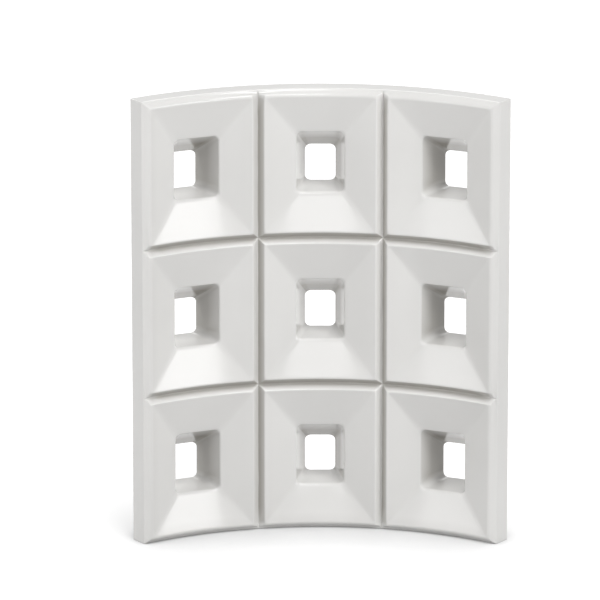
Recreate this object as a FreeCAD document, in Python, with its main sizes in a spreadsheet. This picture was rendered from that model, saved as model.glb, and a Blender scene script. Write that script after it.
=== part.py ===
import FreeCAD, Part
import Sketcher
import math
import os

# One glazed screen block, fired in one piece: a curved slab whose hollow face is cut by
# V-grooves into three columns and three rows of funnel-shaped cells. Each cell leads into
# a tapering throat that falls towards the rounded back.
# While it is drawn, the axis of the curve is the Z axis and the block lies on its +Y side.

doc = FreeCAD.newDocument("ScreenBlock")
sizes = doc.addObject("Spreadsheet::Sheet", "Sizes")

driving = [
    ("row_pitch", "130"),
    ("column_angle", "23.5"),
    ("crest_radius", "255"),
    ("groove_width", "10"),
    ("groove_depth", "6"),
    ("edge_depth", "22"),
    ("body_depth", "43"),
    ("back_bevel", "18"),
    ("crest_flat", "1.5"),
    ("edge_round", "1.5"),
    ("funnel_depth", "8"),
    ("mouth_width", "41"),
    ("mouth_height", "53.5"),
    ("hole_width", "25.5"),
    ("hole_height", "31"),
    ("throat_corner", "4.5"),
    ("mouth_lip", "1.5"),
    ("hole_chamfer", "1"),
    ("back_round", "2"),
    ("throat_fall", "9.5"),
]
for line, (alias, number) in enumerate(driving, start=1):
    sizes.set("A%d" % line, alias)
    sizes.set("B%d" % line, number)
    sizes.setAlias("B%d" % line, alias)
doc.recompute()

# Lengths that several sketches share, all drawn from the sheet
RADIUS = "Sizes.crest_radius"
PITCH = "Sizes.row_pitch"
HEIGHT = "3 * Sizes.row_pitch"
COLUMN = "Sizes.column_angle"
END = "1.5 * Sizes.column_angle"
HALF_GROOVE = "Sizes.groove_width / 2"
DEEP_GROOVE = "Sizes.groove_depth"
FUNNEL = "Sizes.funnel_depth"
FLAT = "Sizes.crest_flat"
LIP = "Sizes.mouth_lip"

# The lip round each mouth runs on this many lip widths into the throat, which trims it
RUN_ON = "2"
# The throat cutter starts this far before the mouth and ends this far behind the back
OVERRUN = "3"
# The swept rows are made this much longer at each end, in degrees, and trimmed to the side faces
SPARE = "2"

body = doc.addObject("PartDesign::Body", "screen_block")
body.Label = "screen_block"


def origin_feature(role):
    for feature in body.Origin.OriginFeatures:
        if feature.Role == role:
            return feature


def new_sketch(label, plane):
    sketch = body.newObject("Sketcher::SketchObject", label)
    sketch.AttachmentSupport = [(origin_feature(plane), "")]
    sketch.MapMode = "FlatFace"
    return sketch


def number(sketch, expression):
    return float(sketch.evalExpression(expression))


def drive(sketch, kind, first, second, expression):
    value = number(sketch, expression)
    index = sketch.addConstraint(Sketcher.Constraint(kind, *first, *second, value))
    sketch.setExpression("Constraints[%d]" % index, expression)


def round_corner(sketch, before, after, place, radius):
    """Arc between two lines, tangent to both, while the lines still aim at the sharp corner."""
    towards = (sketch.Geometry[before].StartPoint - place).normalize()
    away = (sketch.Geometry[after].EndPoint - place).normalize()
    half_angle = towards.getAngle(away) / 2
    size = number(sketch, radius)
    centre = place + (towards + away).normalize() * (size / math.sin(half_angle))
    touch = [place + towards * (size / math.tan(half_angle)), place + away * (size / math.tan(half_angle))]
    sketch.moveGeometry(before, 2, touch[0])
    sketch.moveGeometry(after, 1, touch[1])
    turns_left = towards.cross(away).z < 0
    first, last = touch if turns_left else touch[::-1]
    angles = [math.atan2((end - centre).y, (end - centre).x) for end in (first, last)]
    circle = Part.Circle(centre, FreeCAD.Vector(0, 0, 1), size)
    arc = sketch.addGeometry(Part.ArcOfCircle(circle, *angles), False)
    corner = sketch.addGeometry(Part.Point(place), True)
    start, end = (1, 2) if turns_left else (2, 1)
    sketch.addConstraint(Sketcher.Constraint("Tangent", before, 2, arc, start))
    sketch.addConstraint(Sketcher.Constraint("Tangent", arc, end, after, 1))
    sketch.addConstraint(Sketcher.Constraint("PointOnObject", corner, 1, before))
    sketch.addConstraint(Sketcher.Constraint("PointOnObject", corner, 1, after))
    index = sketch.addConstraint(Sketcher.Constraint("Radius", arc, size))
    sketch.setExpression("Constraints[%d]" % index, radius)
    return corner


def polygon(sketch, corners, rounded={}):
    """Closed outline, each corner held by two dimensions from the sketch origin."""
    points = [FreeCAD.Vector(number(sketch, x), number(sketch, y), 0) for x, y in corners]
    lines = []
    for start, end in zip(points, points[1:] + points[:1]):
        lines.append(sketch.addGeometry(Part.LineSegment(start, end), False))
    sketch.solve()
    for place, (x, y) in enumerate(corners):
        before, after = lines[place - 1], lines[place]
        if place in rounded:
            held = round_corner(sketch, before, after, points[place], rounded[place])
        else:
            sketch.addConstraint(Sketcher.Constraint("Coincident", before, 2, after, 1))
            held = after
        drive(sketch, "DistanceX", (-1, 1), (held, 1), x)
        drive(sketch, "DistanceY", (-1, 1), (held, 1), y)


def plan_point(angle, along, across):
    """Point in plan: along the ray at this angle from +Y, then across it to the right."""
    x = "(%s) * sin(%s) + (%s) * cos(%s)" % (along, angle, across, angle)
    y = "(%s) * cos(%s) - (%s) * sin(%s)" % (along, angle, across, angle)
    return x, y


def mirrored(corners):
    return [("-(%s)" % x, y) for x, y in corners]


# Across a cell, in plan: the crest, the flat on it, the sloping wall and the lip round the
# mouth, measured along the ray through the middle of the cell and across it
groove_root = "%s + %s" % (RADIUS, DEEP_GROOVE)
flat_root = "(%s + %s * %s / (%s))" % (RADIUS, FLAT, DEEP_GROOVE, HALF_GROOVE)
flat_half = "(%s - %s)" % (HALF_GROOVE, FLAT)
flat_side = "sqrt(%s^2 - %s^2)" % (flat_root, flat_half)
crest_across = "(%s * sin(%s / 2) - %s * cos(%s / 2))" % (RADIUS, COLUMN, HALF_GROOVE, COLUMN)
crest_along = "(%s * cos(%s / 2) + %s * sin(%s / 2))" % (RADIUS, COLUMN, HALF_GROOVE, COLUMN)
mouth_along = "sqrt((%s + %s)^2 - (Sizes.mouth_width / 2)^2)" % (RADIUS, FUNNEL)
rib_slope = "((%s - %s) / (%s - Sizes.mouth_width / 2))" % (mouth_along, crest_along, crest_across)
flat_across = "(%s - %s)" % (crest_across, FLAT)
flat_along = "(%s + %s * %s)" % (crest_along, FLAT, rib_slope)
lip_across = "(Sizes.mouth_width / 2 + %s)" % LIP
lip_along = "(%s - %s * %s)" % (mouth_along, LIP, rib_slope)
foot_across = "(Sizes.mouth_width / 2 - %s * %s)" % (RUN_ON, LIP)
foot_along = "(%s + (1 + %s) * %s)" % (lip_along, RUN_ON, LIP)
root_along = "(%s + %s)" % (foot_along, DEEP_GROOVE)

# Up a cell: the same slopes, so that the flats and the walls meet at each corner of the cell
half_crest = "(%s / 2 - %s)" % (PITCH, HALF_GROOVE)
row_run = "(%s - Sizes.mouth_height / 2)" % half_crest
flat_front = "sqrt(%s^2 + %s^2)" % (flat_along, flat_across)
flat_rise = "((%s - %s) * %s / %s)" % (flat_front, RADIUS, row_run, FUNNEL)
lip_front = "%s + %s - %s * %s / %s" % (RADIUS, FUNNEL, LIP, FUNNEL, row_run)
lip_root = "%s + (1 + %s) * %s" % (lip_front, RUN_ON, LIP)
outer_lip = "(Sizes.mouth_height / 2 + %s)" % LIP
inner_lip = "(Sizes.mouth_height / 2 - %s * %s)" % (RUN_ON, LIP)

# Rows: the upright section, with a broad sloping trough along each row, a narrow flat on
# each crest and V-grooves between, is swept round the axis
section = new_sketch("row_section", "YZ_Plane")
inner_crest = "(%s - %s)" % (half_crest, flat_rise)
outer_crest = "(%s + %s)" % (half_crest, FLAT)
outline = [(groove_root, "0")]
rounded = {0: "Sizes.edge_round"}
for row in (0, 1, 2):
    middle = "%s * %s" % (row + 0.5, PITCH)
    outline.append((flat_root, "%s - %s" % (middle, outer_crest)))
    outline.append((flat_front, "%s - %s" % (middle, inner_crest)))
    outline.append((lip_front, "%s - %s" % (middle, outer_lip)))
    outline.append((lip_root, "%s - %s" % (middle, inner_lip)))
    outline.append((lip_root, "%s + %s" % (middle, inner_lip)))
    outline.append((lip_front, "%s + %s" % (middle, outer_lip)))
    outline.append((flat_front, "%s + %s" % (middle, inner_crest)))
    outline.append((flat_root, "%s + %s" % (middle, outer_crest)))
    outline.append((groove_root, "%s * %s" % (row + 1, PITCH)))
rounded[len(outline) - 1] = "Sizes.edge_round"
rounded[len(outline)] = "Sizes.edge_round"
outline.append((RADIUS + " + Sizes.edge_depth", HEIGHT))
outline.append((RADIUS + " + Sizes.body_depth", HEIGHT + " - Sizes.back_bevel"))
outline.append((RADIUS + " + Sizes.body_depth", "Sizes.back_bevel"))
rounded[len(outline)] = "Sizes.edge_round"
outline.append((RADIUS + " + Sizes.edge_depth", "0"))
polygon(section, outline, rounded)
doc.recompute()

rows = body.newObject("PartDesign::Revolution", "rows")
rows.Profile = section
rows.ReferenceAxis = (section, ["V_Axis"])
rows.setExpression("Angle", "2 * (%s + %s)" % (END, SPARE))
rows.Midplane = True
section.Visibility = False
doc.recompute()

# Columns: upright ribs, sloping to the same mouths, fill the troughs between the cells
ribs = new_sketch("rib_section", "XY_Plane")
inner_rib = [
    plan_point("0", root_along, foot_across),
    plan_point("0", foot_along, foot_across),
    plan_point("0", lip_along, lip_across),
    plan_point("0", flat_along, flat_across),
    plan_point(COLUMN + " / 2", flat_side, "-" + flat_half),
    plan_point(COLUMN + " / 2", groove_root, "0"),
    plan_point(COLUMN + " / 2", flat_side, flat_half),
    plan_point(COLUMN, flat_along, "-" + flat_across),
    plan_point(COLUMN, lip_along, "-" + lip_across),
    plan_point(COLUMN, foot_along, "-" + foot_across),
    plan_point(COLUMN, root_along, "-" + foot_across),
]
end_rib = [
    plan_point(COLUMN, root_along, foot_across),
    plan_point(COLUMN, foot_along, foot_across),
    plan_point(COLUMN, lip_along, lip_across),
    plan_point(COLUMN, flat_along, flat_across),
    plan_point(END, flat_side, "-" + flat_half),
    plan_point(END, "2 * (%s) - %s" % (groove_root, flat_side), flat_half),
    plan_point(END, "%s + %s" % (root_along, DEEP_GROOVE), flat_half),
]
for rib in (inner_rib, end_rib):
    polygon(ribs, rib)
    polygon(ribs, mirrored(rib))
doc.recompute()

columns = body.newObject("PartDesign::Pad", "columns")
columns.Profile = ribs
columns.setExpression("Length", HEIGHT)
ribs.Visibility = False
doc.recompute()

# Level V-grooves between the rows, and half a groove along the top and bottom edges
level = new_sketch("level_groove_section", "YZ_Plane")
front = "%s - %s" % (RADIUS, DEEP_GROOVE)
beyond = "%s + 2 * %s" % (RADIUS, DEEP_GROOVE)
outer_flat = "(%s + %s)" % (HALF_GROOVE, flat_rise)
open_half = "(2 * %s + %s)" % (HALF_GROOVE, flat_rise)
for joint in (PITCH, "2 * " + PITCH):
    polygon(level, [
        (groove_root, joint),
        (flat_root, "%s + %s" % (joint, flat_half)),
        (flat_front, "%s + %s" % (joint, outer_flat)),
        (front, "%s + %s" % (joint, open_half)),
        (front, "%s - %s" % (joint, open_half)),
        (flat_front, "%s - %s" % (joint, outer_flat)),
        (flat_root, "%s - %s" % (joint, flat_half)),
    ])
polygon(level, [
    (front, open_half),
    (front, "-" + HALF_GROOVE),
    (beyond, "-" + HALF_GROOVE),
    (flat_root, flat_half),
    (flat_front, outer_flat),
])
polygon(level, [
    (front, "%s - %s" % (HEIGHT, open_half)),
    (flat_front, "%s - %s" % (HEIGHT, outer_flat)),
    (flat_root, "%s - %s" % (HEIGHT, flat_half)),
    (beyond, "%s + %s" % (HEIGHT, HALF_GROOVE)),
    (front, "%s + %s" % (HEIGHT, HALF_GROOVE)),
])
doc.recompute()

level_grooves = body.newObject("PartDesign::Groove", "level_grooves")
level_grooves.Profile = level
level_grooves.ReferenceAxis = (level, ["V_Axis"])
level_grooves.setExpression("Angle", "2 * %s + 20" % END)
level_grooves.Midplane = True
level.Visibility = False
doc.recompute()

# Upright V-grooves between the columns, and the trim of each side: half a groove at the
# front, the flat side face, and the bevel that thins the block towards the back
upright = new_sketch("upright_groove_section", "XY_Plane")
joint_groove = [
    plan_point(COLUMN + " / 2", groove_root, "0"),
    plan_point(COLUMN + " / 2", flat_side, flat_half),
    plan_point(COLUMN, flat_along, "-" + flat_across),
    plan_point(COLUMN + " / 2", front, open_half),
    plan_point(COLUMN + " / 2", front, "-" + open_half),
    plan_point("0", flat_along, flat_across),
    plan_point(COLUMN + " / 2", flat_side, "-" + flat_half),
]
rise = "(Sizes.body_depth - Sizes.edge_depth)"
behind = "%s + Sizes.body_depth + 0.2 * %s" % (RADIUS, rise)
clear = "3 * Sizes.groove_width"
side_trim = [
    plan_point(END, front, "-" + open_half),
    plan_point(COLUMN, flat_along, flat_across),
    plan_point(END, flat_side, "-" + flat_half),
    plan_point(END, groove_root, "0"),
    plan_point(END, "%s + Sizes.edge_depth" % RADIUS, "0"),
    plan_point(END, behind, "-1.2 * Sizes.back_bevel"),
    plan_point(END, behind, clear),
    plan_point(END, front, clear),
]
for cut, rounded in ((joint_groove, {}), (side_trim, {3: "Sizes.edge_round", 4: "Sizes.edge_round"})):
    polygon(upright, cut, rounded)
    polygon(upright, mirrored(cut), rounded)
doc.recompute()

upright_cuts = body.newObject("PartDesign::Pocket", "upright_cuts")
upright_cuts.Profile = upright
upright_cuts.Type = "ThroughAll"
upright_cuts.Midplane = True
upright.Visibility = False
doc.recompute()


# Throats: one wedge-shaped cutter, narrowing and falling towards the back, starts at the
# left of the bottom row and is repeated up the rows and round the columns
throat = body.newObject("PartDesign::SubtractiveWedge", "throat")
throat.AttachmentSupport = [(origin_feature("XY_Plane"), "")]
throat.MapMode = "FlatFace"
throat.AttachmentOffset = FreeCAD.Placement(
    FreeCAD.Vector(0, 0, 0), FreeCAD.Rotation(FreeCAD.Vector(0, 0, 1), 1))
throat.setExpression("AttachmentOffset.Rotation.Angle", COLUMN)


def throat_end(depth, prefix, along):
    share = "((%s - %s) / (Sizes.body_depth - %s))" % (depth, FUNNEL, FUNNEL)
    width = "(Sizes.mouth_width + (Sizes.hole_width - Sizes.mouth_width) * %s)" % share
    height = "(Sizes.mouth_height + (Sizes.hole_height - Sizes.mouth_height) * %s)" % share
    middle = "(%s / 2 - Sizes.throat_fall * %s)" % (PITCH, share)
    throat.setExpression(along, "%s + %s" % (RADIUS, depth))
    throat.setExpression("X%smin" % prefix, "-%s / 2" % width)
    throat.setExpression("X%smax" % prefix, "%s / 2" % width)
    throat.setExpression("Z%smin" % prefix, "%s - %s / 2" % (middle, height))
    throat.setExpression("Z%smax" % prefix, "%s + %s / 2" % (middle, height))


throat_end("(%s - %s)" % (FUNNEL, OVERRUN), "", "Ymin")
throat_end("(Sizes.body_depth + %s)" % OVERRUN, "2", "Ymax")
doc.recompute()

throats = body.newObject("PartDesign::MultiTransform", "throats")
throats.Originals = [throat]
up_rows = body.newObject("PartDesign::LinearPattern", "up_rows")
up_rows.Direction = (origin_feature("Z_Axis"), [""])
up_rows.setExpression("Length", "2 * " + PITCH)
up_rows.Occurrences = 3
round_columns = body.newObject("PartDesign::PolarPattern", "round_columns")
round_columns.Axis = (origin_feature("Z_Axis"), [""])
round_columns.setExpression("Angle", "2 * " + COLUMN)
round_columns.Reversed = True
round_columns.Occurrences = 3
throats.Transformations = [up_rows, round_columns]
body.Tip = throats
doc.recompute()


def edges_where(chosen):
    """Names of the edges whose ends and middle, as radius, angle and height, are chosen."""
    names = []
    for index, edge in enumerate(body.Tip.Shape.Edges, start=1):
        middle = edge.valueAt((edge.FirstParameter + edge.LastParameter) / 2)
        places = []
        for point in [vertex.Point for vertex in edge.Vertexes] + [middle]:
            places.append((math.hypot(point.x, point.y), math.degrees(math.atan2(point.x, point.y)), point.z))
        if chosen(places):
            names.append("Edge%d" % index)
    return names


def soften(kind, label, names, size, expression):
    before = body.Tip
    dressing = body.newObject(kind, label)
    dressing.Base = (before, names)
    dressing.setExpression(size, expression)
    body.Tip = dressing
    doc.recompute()


crest_radius = sizes.crest_radius
funnel_depth = sizes.funnel_depth
body_depth = sizes.body_depth
row_pitch = sizes.row_pitch


def inside_a_cell(place):
    """True well inside a cell, away from the grooves and the outer edge."""
    radius, angle, height = place
    column = abs((angle / sizes.column_angle + 0.5) % 1 - 0.5)
    row = abs((height / row_pitch) % 1 - 0.5)
    return column < 0.3 and row < 0.4 and abs(angle) < 1.5 * sizes.column_angle


def on_the_back(place):
    return abs(place[0] - crest_radius - body_depth) < 0.1


# The four long corners of each throat, the edge of its hole at the back, and the edge
# between the rounded back and the bevel round it
throat_corners = edges_where(
    lambda places: abs(places[0][0] - places[1][0]) > (body_depth - funnel_depth) / 2
    and all(inside_a_cell(place) for place in places))
soften("PartDesign::Fillet", "throat_corners", throat_corners, "Radius", "Sizes.throat_corner")
hole_edges = edges_where(
    lambda places: all(inside_a_cell(place) and on_the_back(place) for place in places))
soften("PartDesign::Chamfer", "hole_edges", hole_edges, "Size", "Sizes.hole_chamfer")
back_edges = edges_where(
    lambda places: all(on_the_back(place) for place in places)
    and not all(inside_a_cell(place) for place in places))
soften("PartDesign::Fillet", "back_edges", back_edges, "Radius", "Sizes.back_round")

# The row frame: origin under the middle of the block, on its bed
end_crest = plan_point(END, flat_side, "-" + flat_half)
body.setExpression(
    "Placement.Base.y", "-(%s + Sizes.body_depth + %s) / 2" % (RADIUS, end_crest[1]))
doc.recompute()

for item in doc.Objects:
    state = [word for word in item.State if word in ("Invalid", "Error")]
    if state:
        raise RuntimeError("%s: %s" % (item.Name, state))
shape = body.Shape
if shape.isNull() or not shape.isValid() or len(shape.Solids) != 1:
    raise RuntimeError("the block is not one valid solid")

os.makedirs("parts", exist_ok=True)
shape.exportStep("parts/screen_block.step")
box = shape.BoundBox
print("volume cm3", round(shape.Volume / 1000, 1))
print("box", [round(v, 2) for v in (box.XMin, box.XMax, box.YMin, box.YMax, box.ZMin, box.ZMax)])
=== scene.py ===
import math

import bmesh
import bpy
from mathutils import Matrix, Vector, noise


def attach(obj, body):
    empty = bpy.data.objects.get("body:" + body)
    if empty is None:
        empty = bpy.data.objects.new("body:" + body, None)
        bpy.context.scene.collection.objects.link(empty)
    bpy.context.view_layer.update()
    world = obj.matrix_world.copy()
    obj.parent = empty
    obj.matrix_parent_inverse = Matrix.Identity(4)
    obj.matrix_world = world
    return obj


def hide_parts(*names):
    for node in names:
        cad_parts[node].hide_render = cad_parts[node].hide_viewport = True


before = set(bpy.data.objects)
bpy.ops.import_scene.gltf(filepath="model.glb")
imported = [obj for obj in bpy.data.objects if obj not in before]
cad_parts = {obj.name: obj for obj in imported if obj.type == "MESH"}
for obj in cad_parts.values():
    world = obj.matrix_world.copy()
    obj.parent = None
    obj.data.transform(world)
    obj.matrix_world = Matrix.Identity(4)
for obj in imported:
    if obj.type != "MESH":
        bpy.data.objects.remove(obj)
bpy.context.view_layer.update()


# The block: pressed clay fired in one piece, three columns and three rows of funnel cells on
# the hollow side of a curved slab, each opening through a falling throat to the plain back.
# The mould and the thick glaze leave every crest, valley, lip and outer edge as a soft arc.
cells_each_way = 3
row_pitch = 0.130
column_turn = math.radians(23.5)
crest_radius = 0.255
groove_half = 0.005
groove_depth = 0.006
funnel_depth = 0.008
edge_depth = 0.022
body_depth = 0.043
back_bevel = 0.018
mouth_half = (0.0205, 0.02675)
hole_half = (0.01275, 0.0155)
throat_fall = 0.0095
axis_y = -0.254857

half_height = cells_each_way / 2 * row_pitch
end_turn = cells_each_way / 2 * column_turn
root_radius = crest_radius + groove_depth
mouth_radius = crest_radius + funnel_depth
bevel_radius = crest_radius + edge_depth
back_radius = crest_radius + body_depth

crest_set_back = 0.00025
outer_crest_set_back = 0.00015
crest_top = crest_radius + crest_set_back
outer_crest_top = crest_top + outer_crest_set_back

groove_round = 0.0010
crest_round = 0.0014
outer_crest_round = 0.0030
lip_round = {"up": 0.0018, "down": 0.0034, "side": 0.0020}
hole_round = 0.0010
edge_round = 0.0015
back_round = 0.0020
arc_steps = 6
arc_margin = 0.0006


def eased(points, rounds, spares):
    """Profile with an arc at each inner corner, a point close beside it and spare points before it."""
    path = [points[0]]
    last = points[0]
    for before, corner, after, radius, spare in zip(points, points[1:], points[2:], rounds, spares):
        to_before = (before - corner).normalized()
        to_after = (after - corner).normalized()
        half = to_before.angle(to_after) / 2
        start = corner + to_before * (radius / math.tan(half))
        end = corner + to_after * (radius / math.tan(half))
        centre = corner + (to_before + to_after).normalized() * (radius / math.sin(half))
        beside = start + to_before * arc_margin
        for step in range(1, spare + 1):
            path.append(last.lerp(beside, step / (spare + 1)))
        path.append(beside)
        for step in range(arc_steps + 1):
            spoke = (start - centre).slerp(end - centre, step / arc_steps)
            path.append(centre + spoke.normalized() * radius)
        last = end + to_after * arc_margin
        path.append(last)
    path.append(points[-1])
    return path


def smooth(value):
    value = min(max(value, 0.0), 1.0)
    return value * value * (3 - 2 * value)


def spot(radius, turn, height):
    return Vector((radius * math.sin(turn), axis_y + radius * math.cos(turn), height))


dip_width = 0.045
dip_depth = 0.0005
dip_layer = 3.7
true_back = 0.004
dip_fade = 0.020


def unevenness(turn, height, radius):
    """The pressed face is never quite true: it dips a little from place to place, the back hardly."""
    where = Vector((crest_radius * turn / dip_width, height / dip_width, dip_layer))
    dip = 0.5 + 0.5 * noise.noise(where)
    return dip_depth * dip * min(1.0, max(0.0, (back_radius - true_back - radius) / dip_fade))


# The outside runs over the front edge, along the bed or side face, over the back edge and the
# bevel to the rounded back. A bed's section is in radius and height, a side's along and across.
edge_rounds = (edge_round, edge_round, back_round)
edge_spares = (0, 1, 1)
bed_path = eased([
    Vector((crest_radius, half_height - groove_half)),
    Vector((root_radius, half_height)),
    Vector((bevel_radius, half_height)),
    Vector((back_radius, half_height - back_bevel)),
    Vector((back_radius, 0)),
], edge_rounds, edge_spares)[1:-1]

bevel_rise = body_depth - edge_depth
bevel_lead = bevel_radius * bevel_rise
bevel_span = bevel_rise ** 2 + back_bevel ** 2
bevel_room = bevel_span * (back_radius ** 2 - bevel_radius ** 2)
bevel_share = (math.sqrt(bevel_lead ** 2 + bevel_room) - bevel_lead) / bevel_span
turn_past_bevel = 0.17
side_path = eased([
    Vector((crest_radius, -groove_half)),
    Vector((root_radius, 0)),
    Vector((bevel_radius, 0)),
    Vector((bevel_radius + bevel_rise * bevel_share, -back_bevel * bevel_share)),
    Vector((back_radius * math.cos(turn_past_bevel), -back_radius * math.sin(turn_past_bevel))),
], edge_rounds, edge_spares)[1:-1]

end_zone = 0.06
nearly_whole = 0.9999


def at_edge(turn_share, height_share):
    return max(abs(turn_share), abs(height_share)) > nearly_whole


def rim(turn_share, height_share, station):
    """Point on the outside of the block, as shares of its half turn and half height."""
    bed = bed_path[station]
    flank = side_path[station]
    turn = end_turn + math.atan2(flank.y, flank.x)
    near_end = smooth((abs(turn_share) - (1 - end_zone)) / end_zone)
    radius = bed.x + (flank.length - bed.x) * near_end
    return spot(radius, turn_share * turn, half_height + height_share * bed.y)


def back_meeting(turn_share, height_share):
    """Point on the rounded back, where the cells meet behind their grooves."""
    if at_edge(turn_share, height_share):
        return rim(turn_share, height_share, -1)
    turn = end_turn + math.atan2(side_path[-1].y, side_path[-1].x)
    return spot(back_radius, turn_share * turn, half_height + height_share * bed_path[-1].y)


def on_back(point):
    plan = Vector((point.x, point.y - axis_y)).normalized() * back_radius
    return Vector((plan.x, plan.y + axis_y, point.z))


# Each cell is a run of rings from the bottom of its grooves, over the crest, down the funnel,
# over the lip and through the throat to the back. Across, a cell is measured along the curve.
half_up = row_pitch / 2
crest_up = half_up - groove_half
half_across = crest_radius * column_turn / 2
crest_across = crest_radius * (column_turn / 2 - math.atan2(groove_half, crest_radius))
mouth_across = crest_radius * math.asin(mouth_half[0] / mouth_radius)
hole_across = crest_radius * math.asin(hole_half[0] / back_radius)

bed_edge = Vector((bed_path[0].y - row_pitch, bed_path[0].x))
side_edge_turn = end_turn + math.atan2(side_path[0].y, side_path[0].x) - column_turn
side_edge = Vector((crest_radius * side_edge_turn, side_path[0].length))

cell_spares = (0, 0, 3, 1)
groove_rings = arc_steps // 2 + 2
crest_rings = groove_rings + arc_steps + 3
flat_wall_rise = 0.0016


def cell_side(half, crest, mouth, hole, lip, outer):
    """Section of one side of a cell, from its groove or the block's edge to the hole."""
    top = crest_top if outer is None else outer_crest_top
    soft = crest_round if outer is None else outer_crest_round
    path = eased([
        Vector((2 * half - crest, crest_top)),
        Vector((half, root_radius)),
        Vector((crest, top)),
        Vector((mouth, mouth_radius)),
        Vector((hole, back_radius)),
        Vector((half, back_radius)),
    ], (groove_round, soft, lip, hole_round), cell_spares)
    path = path[2 + arc_steps // 2:-1]
    if outer is not None:
        wall = path[groove_rings]
        for ring in range(groove_rings):
            path[ring] = outer.lerp(wall, ring / groove_rings)
    return path


def hollowed(path):
    """The side walls of a funnel are flat, so in the middle they stand in front of the curve."""
    for point in path:
        share = (point.x - mouth_across) / (crest_across - mouth_across)
        if 0 < share < 1 and point.y < mouth_radius:
            point.y -= flat_wall_rise * share * (1 - share)
    return path


corner_zone = 0.0045
zone_shares = (0, 0.2, 0.45, 0.7)
middle_steps = 9
crest_bend = 0.3
bend_rings = 4
depth_blend = 0.012


def ring_corner(ring):
    """How far the corners of a ring are rounded, from mitred in the grooves to full at the mouth."""
    if ring < groove_rings:
        return 0.0
    if ring < crest_rings:
        return crest_bend
    return min(1.0, crest_bend + (1 - crest_bend) * (ring - crest_rings + 1) / bend_rings)


def side_reaches(length):
    """Where the points of one side of a ring lie along it, close together near both corners."""
    reaches = [corner_zone * share for share in zone_shares]
    for step in range(middle_steps + 1):
        reaches.append(corner_zone + (length - 2 * corner_zone) * step / middle_steps)
    return reaches + [length - corner_zone * share for share in zone_shares[:0:-1]]


def ring_points(sides, ring):
    """Points of one ring of a cell: across, up, radius, clockwise from the upper left corner."""
    up, right, down, left = (section[ring] for section in sides)
    corners = [
        Vector((-left.x, up.x)),
        Vector((right.x, up.x)),
        Vector((right.x, down.x)),
        Vector((-left.x, down.x)),
    ]
    depths = [up.y, right.y, down.y, left.y]
    bend = ring_corner(ring)
    points = []
    for side in range(4):
        first = corners[side]
        last = corners[(side + 1) % 4]
        along = (last - first).normalized()
        inward = Vector((along.y, -along.x))
        length = (last - first).length
        for reach in side_reaches(length):
            near = min(reach, length - reach)
            if reach < length / 2:
                corner, direction, next_depth = first, along, depths[side - 1]
            else:
                corner, direction, next_depth = last, -along, depths[(side + 1) % 4]
            point = corner + direction * near
            if near < corner_zone:
                swing = math.pi / 4 * (1 - near / corner_zone)
                arc = corner + direction * (corner_zone - corner_zone * math.sin(swing))
                arc += inward * (corner_zone - corner_zone * math.cos(swing))
                point = point.lerp(arc, bend)
            blend = 0.5 * (1 - smooth(near / depth_blend))
            points.append((point.x, point.y, depths[side] + (next_depth - depths[side]) * blend))
    return points


def border_marks(column, row):
    """Where the points of a cell's border lie on the block, as shares of its half turn and height."""
    corners = []
    for way_across, way_up in ((-1, 1), (1, 1), (1, -1), (-1, -1)):
        turn_share = (column + way_across / 2) / (cells_each_way / 2)
        height_share = (row + way_up / 2) / (cells_each_way / 2)
        corners.append(Vector((turn_share, height_share)))
    marks = []
    for side in range(4):
        length = 2 * half_across if side % 2 == 0 else 2 * half_up
        for reach in side_reaches(length):
            marks.append(corners[side].lerp(corners[(side + 1) % 4], reach / length))
    return marks


# Painted shade: the glaze colour is darkened on the sides of the grooves that look down or
# left, and on the roof and flanks of the throats, where the light from the upper right hardly
# reaches. The shares are for the upper, right, lower and left side of a cell.
groove_shade = (0.66, 0.22, 0.80, 0.77)
groove_fade = (0.0050, 0.0030, 0.0014, 0.0018)
crest_clear = 0.0005
edge_clear = 0.004
edge_fade = 0.006
throat_shade = {-1: (0.92, 0.63, 0.0, 0.5), 0: (0.92, 1.0, 0.0, 0.52), 1: (0.92, 0.5, 0.0, 0.75)}
throat_fade = 0.0035
lip_clear = 0.0003
hole_clear = 0.0008
foot_fade = 0.45


# Painted shade in a groove: how far a point's colour is darkened, by side and depth.
def painted_groove_shade(side, turn, height, radius):
    inside = min((end_turn - abs(turn)) * crest_radius, half_height - abs(height - half_height))
    depth = smooth((radius - crest_radius - crest_clear) / groove_fade[side])
    return groove_shade[side] * depth * smooth((inside - edge_clear) / edge_fade)


# Painted shade in a throat: how far a point's colour is darkened, by side, depth and height.
def painted_throat_shade(side, column, radius, height_share):
    if radius > back_radius - hole_clear:
        return 0.0
    depth = smooth((radius - mouth_radius - lip_clear) / throat_fade)
    return throat_shade[column][side] * depth * smooth((height_share + 1) / foot_fade)


block_mesh = bpy.data.meshes.new("glazed_block")
clay = bmesh.new()
# Per point, how much painted shade darkens the glaze colour.
painted_shade = clay.verts.layers.float.new("painted_shade")


def skin(first, second, first_shade=None, second_shade=None):
    """Faces between two open rows of points, with how much shade is painted at each point."""
    rows = []
    for points, shade_shares in ((first, first_shade), (second, second_shade)):
        corners = [clay.verts.new(point) for point in points]
        if shade_shares:
            for corner, point_shade in zip(corners, shade_shares):
                corner[painted_shade] = point_shade
        rows.append(corners)
    for step in range(len(first) - 1):
        clay.faces.new((rows[0][step], rows[0][step + 1], rows[1][step + 1], rows[1][step]))


back_shares = (0.25, 0.5, 0.75)
weld = 2e-6

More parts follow.
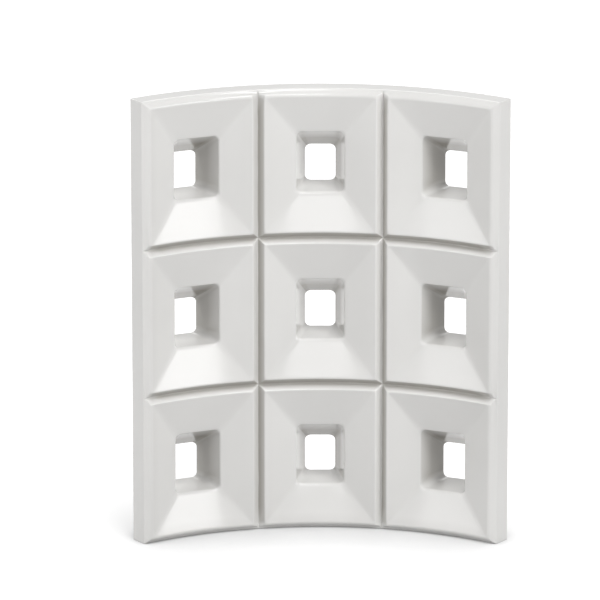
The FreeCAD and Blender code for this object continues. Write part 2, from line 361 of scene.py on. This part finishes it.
for column in (-1, 0, 1):
    for row in (-1, 0, 1):
        up = cell_side(half_up, crest_up, mouth_half[1], hole_half[1] - throat_fall,
                       lip_round["up"], bed_edge if row == 1 else None)
        down = cell_side(half_up, crest_up, mouth_half[1], hole_half[1] + throat_fall,
                         lip_round["down"], bed_edge if row == -1 else None)
        down = [Vector((-point.x, point.y)) for point in down]
        flanks = []
        for way in (1, -1):
            flank = cell_side(half_across, crest_across, mouth_across, hole_across,
                              lip_round["side"], side_edge if column == way else None)
            flanks.append(hollowed(flank))
        right, left = flanks
        rings = []
        shade_rings = []
        for ring in range(len(up)):
            outline = ring_points((up, right, down, left), ring)
            points = []
            shade_shares = []
            for step, (across, height, radius) in enumerate(outline):
                side = 4 * step // len(outline)
                turn = column * column_turn + across / crest_radius
                level = half_height + row * row_pitch + height
                points.append(spot(radius + unevenness(turn, level, radius), turn, level))
                # Painted shade for each point: in the grooves on the crest rings, in the throats
                # further in.
                if ring < crest_rings:
                    shade_shares.append(painted_groove_shade(side, turn, level, radius))
                else:
                    ring_height = up[ring].x - down[ring].x
                    height_share = (2 * height - up[ring].x - down[ring].x) / ring_height
                    shade_shares.append(painted_throat_shade(side, column, radius, height_share))
            rings.append(points)
            shade_rings.append(shade_shares)

        # The outer cells begin at the block's own edge, and all of them end on its back
        marks = border_marks(column, row)
        rings[0] = [rim(mark.x, mark.y, 0) if at_edge(mark.x, mark.y) else point
                    for mark, point in zip(marks, rings[0])]
        back_border = [back_meeting(mark.x, mark.y) for mark in marks]
        hole_edge = rings[-1]
        for back_share in back_shares:
            back_ring = []
            for near, far in zip(hole_edge, back_border):
                back_ring.append(on_back(near.lerp(far, back_share)))
            rings.append(back_ring)
        rings.append(back_border)
        shade_rings += [[0.0] * len(marks)] * (len(back_shares) + 1)
        closed = [points + points[:1] for points in rings]
        closed_shade = [shade_shares + shade_shares[:1] for shade_shares in shade_rings]
        for ring in range(len(rings) - 1):
            skin(closed[ring], closed[ring + 1], closed_shade[ring], closed_shade[ring + 1])

        # The bed or side face along an outer cell
        per_side = len(marks) // 4
        for side, outer in enumerate((row == 1, column == 1, row == -1, column == -1)):
            if not outer:
                continue
            edge = [marks[(side * per_side + step) % len(marks)] for step in range(per_side + 1)]
            for station in range(len(bed_path) - 1):
                skin([rim(mark.x, mark.y, station) for mark in edge],
                     [rim(mark.x, mark.y, station + 1) for mark in edge])

bmesh.ops.remove_doubles(clay, verts=clay.verts, dist=weld)
bmesh.ops.recalc_face_normals(clay, faces=clay.faces)
for face in clay.faces:
    face.smooth = True
clay.to_mesh(block_mesh)
clay.free()
block = bpy.data.objects.new("glazed_block", block_mesh)
bpy.context.scene.collection.objects.link(block)
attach(block, "root")
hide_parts("screen_block")

# White glaze, a shade duller in some places than in others and darkened by painted shade in
# the grooves and throats, with a wet gloss and a faint ripple.
dull_white = (0.735, 0.728, 0.712, 1)
full_white = (0.775, 0.768, 0.752, 1)
# The grey-brown that the painted shade darkens the glaze towards.
painted_shade_colour = (0.34, 0.32, 0.285, 1)
white_glaze = bpy.data.materials.new("white_glaze")
white_glaze.use_nodes = True
nodes = white_glaze.node_tree.nodes
links = white_glaze.node_tree.links
glaze = nodes["Principled BSDF"]
glaze.inputs["IOR"].default_value = 1.5

on_block = nodes.new("ShaderNodeTexCoord")

drift = nodes.new("ShaderNodeTexNoise")
drift.inputs["Scale"].default_value = 9.0
drift.inputs["Detail"].default_value = 3.0
links.new(on_block.outputs["Object"], drift.inputs["Vector"])
tint = nodes.new("ShaderNodeValToRGB")
tint.color_ramp.elements[0].position = 0.35
tint.color_ramp.elements[0].color = dull_white
tint.color_ramp.elements[1].position = 0.7
tint.color_ramp.elements[1].color = full_white
links.new(drift.outputs["Fac"], tint.inputs["Fac"])
# Painted shade: the glaze colour is mixed towards grey-brown where the mesh marks shade.
shade_place = nodes.new("ShaderNodeAttribute")
shade_place.attribute_name = "painted_shade"
shade_mix = nodes.new("ShaderNodeMix")
shade_mix.data_type = "RGBA"
shade_mix.inputs["B"].default_value = painted_shade_colour
links.new(shade_place.outputs["Fac"], shade_mix.inputs["Factor"])
links.new(tint.outputs["Color"], shade_mix.inputs["A"])
links.new(shade_mix.outputs["Result"], glaze.inputs["Base Color"])

sheen = nodes.new("ShaderNodeMapRange")
sheen.inputs["To Min"].default_value = 0.11
sheen.inputs["To Max"].default_value = 0.21
links.new(drift.outputs["Fac"], sheen.inputs["Value"])
links.new(sheen.outputs["Result"], glaze.inputs["Roughness"])

ripple = nodes.new("ShaderNodeTexNoise")
ripple.inputs["Scale"].default_value = 70.0
ripple.inputs["Detail"].default_value = 2.0
links.new(on_block.outputs["Object"], ripple.inputs["Vector"])
ripple_bump = nodes.new("ShaderNodeBump")
ripple_bump.inputs["Strength"].default_value = 0.08
ripple_bump.inputs["Distance"].default_value = 0.001
links.new(ripple.outputs["Fac"], ripple_bump.inputs["Height"])
links.new(ripple_bump.outputs["Normal"], glaze.inputs["Normal"])
block_mesh.materials.append(white_glaze)


# The floor: a wide studio table covered in matt white, seen plain white away from the block
# and soft grey in its shadow.
table_half = 6
table_grey = (0.42, 0.42, 0.42, 1)
table_lift = (0.8, 0.8, 0.8, 1)
shadow_reach = 0.12
table_corners = [
    (-table_half, -table_half, 0),
    (table_half, -table_half, 0),
    (table_half, table_half, 0),
    (-table_half, table_half, 0),
]
floor_mesh = bpy.data.meshes.new("table_top")
floor_mesh.from_pydata(table_corners, [], [(0, 1, 2, 3)])
floor = bpy.data.objects.new("table_top", floor_mesh)
bpy.context.scene.collection.objects.link(floor)


def in_sight(tree):
    """One for what is seen straight or mirrored in the glaze, nothing for the light it gives."""
    seen = tree.nodes.new("ShaderNodeLightPath")
    either = tree.nodes.new("ShaderNodeMath")
    either.operation = "MAXIMUM"
    tree.links.new(seen.outputs["Is Camera Ray"], either.inputs[0])
    tree.links.new(seen.outputs["Is Glossy Ray"], either.inputs[1])
    return either.outputs["Value"]


table_white = bpy.data.materials.new("table_white")
table_white.use_nodes = True
nodes = table_white.node_tree.nodes
links = table_white.node_tree.links
nodes.remove(nodes["Principled BSDF"])
matt = nodes.new("ShaderNodeBsdfDiffuse")
matt.inputs["Color"].default_value = table_grey
hidden_sky = nodes.new("ShaderNodeAmbientOcclusion")
hidden_sky.inputs["Distance"].default_value = shadow_reach
hidden_sky.inputs["Color"].default_value = table_lift
lift = nodes.new("ShaderNodeEmission")
links.new(hidden_sky.outputs["Color"], lift.inputs["Color"])
links.new(in_sight(table_white.node_tree), lift.inputs["Strength"])
both = nodes.new("ShaderNodeAddShader")
links.new(matt.outputs["BSDF"], both.inputs[0])
links.new(lift.outputs["Emission"], both.inputs[1])
links.new(both.outputs["Shader"], nodes["Material Output"].inputs["Surface"])
floor_mesh.materials.append(table_white)


# The light: a dim room with white walls that the glaze mirrors, and soft boxes round the
# table: the main one high on the right, low ones on both sides and in front, one behind.
room_light = 0.15
room_white = 0.65
stand_distance = 3.6
box_side = 1.7

world = bpy.data.worlds.new("pale_room")
bpy.context.scene.world = world
world.use_nodes = True
nodes = world.node_tree.nodes
links = world.node_tree.links
room = nodes["Background"]
room.inputs["Color"].default_value = (1, 1, 1, 1)
walls = nodes.new("ShaderNodeMapRange")
walls.inputs["To Min"].default_value = room_light
walls.inputs["To Max"].default_value = room_white
links.new(in_sight(world.node_tree), walls.inputs["Value"])
links.new(walls.outputs["Result"], room.inputs["Strength"])


def soft_box(name, to_the_right, up, power, far=stand_distance, width=box_side, height=box_side):
    """Soft box on a stand, so many degrees round and up from the front, facing the block."""
    swing = math.radians(to_the_right)
    rise = math.radians(up)
    out = Vector((
        math.sin(swing) * math.cos(rise),
        -math.cos(swing) * math.cos(rise),
        math.sin(rise),
    ))
    lamp = bpy.data.lights.new(name, "AREA")
    lamp.shape = "RECTANGLE"
    lamp.size = width
    lamp.size_y = height
    lamp.energy = power
    box = bpy.data.objects.new(name, lamp)
    box.location = Vector((0, 0, half_height)) + far * out
    box.rotation_euler = (-out).to_track_quat("-Z", "Y").to_euler()
    bpy.context.scene.collection.objects.link(box)


soft_box("high_right", to_the_right=27, up=60, power=66)
soft_box("low_right", to_the_right=49, up=12, power=47)
soft_box("low_left", to_the_right=-50, up=13, power=22)
soft_box("beside", to_the_right=-80, up=12, power=39)
soft_box("front_strip", to_the_right=0, up=11, power=29, far=6.5, width=3.0, height=0.7)
soft_box("behind", to_the_right=180, up=48, power=56, width=2.4)

bpy.context.scene.view_settings.view_transform = "Standard"


# The camera: a long lens far in front of the block, a little above it and square to its
# hollow face, so that the far cells look hardly smaller than the near ones.
picture_pixels = 600
block_pixel_right = 320.3
block_pixel_down = 311.3
lens_pixels = 6628
film_width = 36
camera_distance = 5.65
camera_lift = math.radians(16.33)
block_middle = Vector((0, 0.0005, 0.195))

metres_per_pixel = camera_distance / lens_pixels
picture_left = Vector((-1, 0, 0))
picture_up = Vector((0, math.sin(camera_lift), math.cos(camera_lift)))
aim = block_middle + picture_left * (block_pixel_right - picture_pixels / 2) * metres_per_pixel
aim += picture_up * (block_pixel_down - picture_pixels / 2) * metres_per_pixel
towards_camera = Vector((0, -math.cos(camera_lift), math.sin(camera_lift)))
eye = bpy.data.cameras.new("camera")
eye.sensor_width = film_width
eye.lens = lens_pixels / picture_pixels * film_width
eye.clip_end = 100
camera = bpy.data.objects.new("camera", eye)
camera.location = aim + towards_camera * camera_distance
camera.rotation_euler = (-towards_camera).to_track_quat("-Z", "Y").to_euler()
bpy.context.scene.collection.objects.link(camera)
bpy.context.scene.camera = camera
